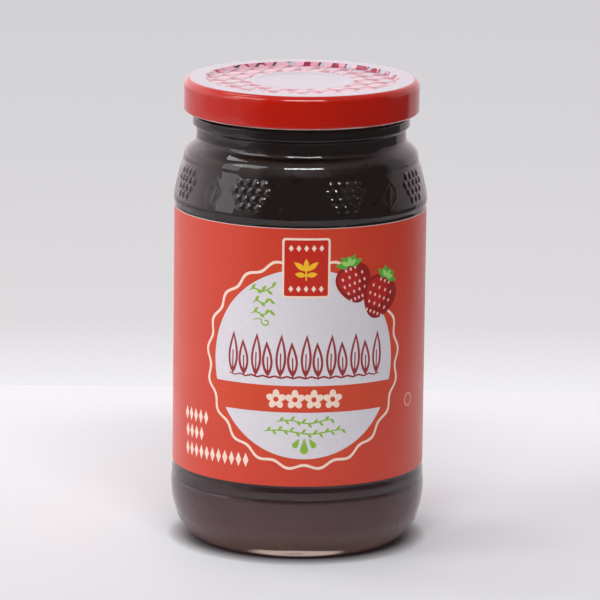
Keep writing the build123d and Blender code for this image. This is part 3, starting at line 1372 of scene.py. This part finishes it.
def around_stops(levels):
    """Ramp stops from (azimuth in degrees, linear level) pairs; azimuth 0 is the camera's side."""
    stops = [((0.25 + azimuth / 360) % 1.0, grey(level)) for azimuth, level in levels]
    return sorted(stops, key=lambda stop: stop[0])


def backdrop(tree, rise):
    """The pale backdrop that the camera and the glass see, by how high they look."""
    return ramp(tree, ranged(tree, rise, -0.24, -0.14, 0.0, 1.0), [
        (0.0, (241, 239, 243)),
        (0.19, (241, 239, 243)),
        (0.30, (223, 220, 223)),
        (0.60, (215, 213, 216)),
        (0.87, (211, 209, 212)),
    ])


def studio_light(tree, place, rise):
    """The studio's light and its reflections: pale at the sides and behind, dim in front."""
    around = tree.nodes.new("ShaderNodeTexGradient")
    around.gradient_type = "RADIAL"
    tree.links.new(place, around.inputs["Vector"])
    level = ramp(tree, around.outputs["Fac"], around_stops([
        (-90, 1.1), (-84, 1.0), (-79, 0.6), (-45, 0.6), (-36, 0.1), (90, 0.1), (101, 0.62),
        (120, 0.7), (130, 1.05), (176, 1.15), (-162, 1.5), (-112, 1.6), (-97, 1.3),
    ]))
    low = ramp(tree, around.outputs["Fac"], around_stops([
        (-90, 0.6), (-66, 0.5), (-36, 0.13), (127, 0.13), (132, 0.7), (-115, 0.85), (-104, 0.6),
    ]))
    upper = blended(tree, ranged(tree, rise, 0.45, 0.75, 0.0, 1.0), level, grey(0.4))
    return blended(tree, ranged(tree, rise, -0.14, -0.05, 1.0, 0.0), upper, low)


def add_world():
    """A pale backdrop behind the jar, and a dimmer studio in front of it."""
    world = bpy.data.worlds.new("studio")
    bpy.context.scene.world = world
    world.use_nodes = True
    tree = world.node_tree
    place = tree.nodes.new("ShaderNodeTexCoord").outputs["Generated"]
    rise = coordinate(tree, place, "Z")
    path = tree.nodes.new("ShaderNodeLightPath")
    seen = math(
        tree, "MAXIMUM", path.outputs["Is Camera Ray"], path.outputs["Is Transmission Ray"]
    )
    colour = blended(tree, seen, studio_light(tree, place, rise), backdrop(tree, rise))
    background = tree.nodes["Background"]
    tree.links.new(colour, background.inputs["Color"])
    background.inputs["Strength"].default_value = 1.0


def add_lamp(name, azimuth, elevation, distance, width, height, radiance):
    """A soft rectangular lamp that faces the jar; azimuth 0 is the camera's side."""
    data = bpy.data.lights.new(name, "AREA")
    data.shape = "RECTANGLE"
    data.size = width
    data.size_y = height
    data.energy = radiance * pi * width * height
    lamp = bpy.data.objects.new(name, data)
    a, e = radians(azimuth), radians(elevation)
    away = np.array((sin(a) * cos(e), -cos(a) * cos(e), sin(e)))
    target = np.array((0, 0, 0.07))
    lamp.location = target + distance * away
    lamp.rotation_euler = Euler((pi / 2 - e, 0, a))
    lamp.visible_camera = False
    bpy.context.scene.collection.objects.link(lamp)


def add_lamps():
    """A narrow bright lamp above the camera, and three dimmer softboxes on the left."""
    add_lamp("front_strip", 3, 50, 1.1, 0.62, 0.16, 21.5)
    add_lamp("left_softbox", -61, 42, 1.5, 0.74, 0.56, 3.4)
    add_lamp("left_panel", -73, 22, 1.5, 0.52, 1.1, 1.7)
    add_lamp("high_left", -117, 59, 1.5, 0.34, 0.5, 4.0)


# === The whole scene ===

def label_inks():
    """The label's finishes, by name."""
    colours = {
        "field": (205, 61, 36),
        "orange": (208, 66, 32),
        "cream": (246, 220, 202),
        "paper": (220, 216, 222),
        "panel": (196, 36, 16),
        "line": (150, 42, 46),
        "green": (140, 184, 52),
        "berry": (148, 18, 14),
        "berry_light": (182, 30, 24),
        "seed": (250, 196, 190),
        "leaf": (84, 170, 56),
        "leaf_light": (158, 214, 106),
        "gold": (244, 190, 40),
        "mark": (226, 150, 140),
        "margin": (226, 190, 184),
        "edge": (236, 232, 228),
    }
    return {name: paper_ink("label_" + name, colour) for name, colour in colours.items()}


def lid_inks():
    """The lid's finishes, by name."""
    colours = {
        "white": (181, 180, 190),
        "pink": (226, 170, 186),
        "rose": (212, 150, 168),
        "red_check": (156, 38, 68),
        "check_line": (98, 54, 70),
    }
    inks = {name: enamel("lid_" + name, colour) for name, colour in colours.items()}
    inks["skirt"] = skirt_enamel((180, 25, 7))
    inks["lining"] = enamel("lid_lining", (205, 190, 150), 0.35)
    return inks


add_camera()
add_world()
add_lamps()
add_floor()
add_glass(glass_material())
add_jelly(jelly_material())
add_label(label_inks())
add_lid(lid_inks())

bpy.context.scene.view_settings.view_transform = "Standard"
